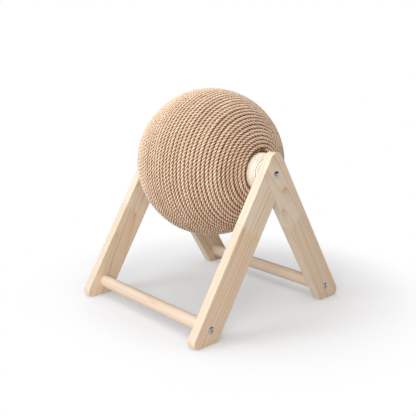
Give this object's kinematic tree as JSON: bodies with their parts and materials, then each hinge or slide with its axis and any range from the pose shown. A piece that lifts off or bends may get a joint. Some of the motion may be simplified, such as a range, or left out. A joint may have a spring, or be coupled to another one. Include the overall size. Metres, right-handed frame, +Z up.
{
  "type": "cat scratching ball",
  "caption": "Rope-wound scratching ball for cats that turns freely on a wooden axle between two A-frame stands joined by round stretchers.",
  "frame": {"origin": "on the floor under the ball's centre, at the middle of the four feet", "axes": "+X along the axle towards the near frame, +Y towards the rear stretcher, +Z up"},
  "size_m": [0.2418, 0.2726, 0.293],
  "materials": {
    "pine": "clear-sanded softwood, satin",
    "dowel_wood": "sanded hardwood, satin",
    "screw_metal": "bright plated",
    "sisal": "rough twisted fibre",
    "cotton": "soft matte cord",
    "core_board": "matte",
    "sleeve_plastic": "matte",
    "collar_wood": "sanded"
  },
  "bodies": {
    "stand": {"near_front_leg": "pine", "near_rear_leg": "pine", "far_front_leg": "pine", "far_rear_leg": "pine", "axle": "dowel_wood", "front_stretcher": "dowel_wood", "rear_stretcher": "dowel_wood", "near_apex_screw": "screw_metal", "far_apex_screw": "screw_metal", "near_foot_screws": "screw_metal", "far_foot_screws": "screw_metal", "near_washer": "sleeve_plastic", "far_washer": "sleeve_plastic"},
    "ball": {"sisal_rope": "sisal", "near_core_half": "core_board", "far_core_half": "core_board", "core_sleeve": "sleeve_plastic", "near_hub_collar": "collar_wood", "far_hub_collar": "collar_wood", "near_hub_cord": "cotton", "far_hub_cord": "cotton"}
  },
  "joints": [
    {"name": "ball_spin", "type": "hinge", "parent": "stand", "child": "ball", "pos_m": [0, 0, 0.193], "axis": [1, 0, 0], "continuous": true}
  ]
}
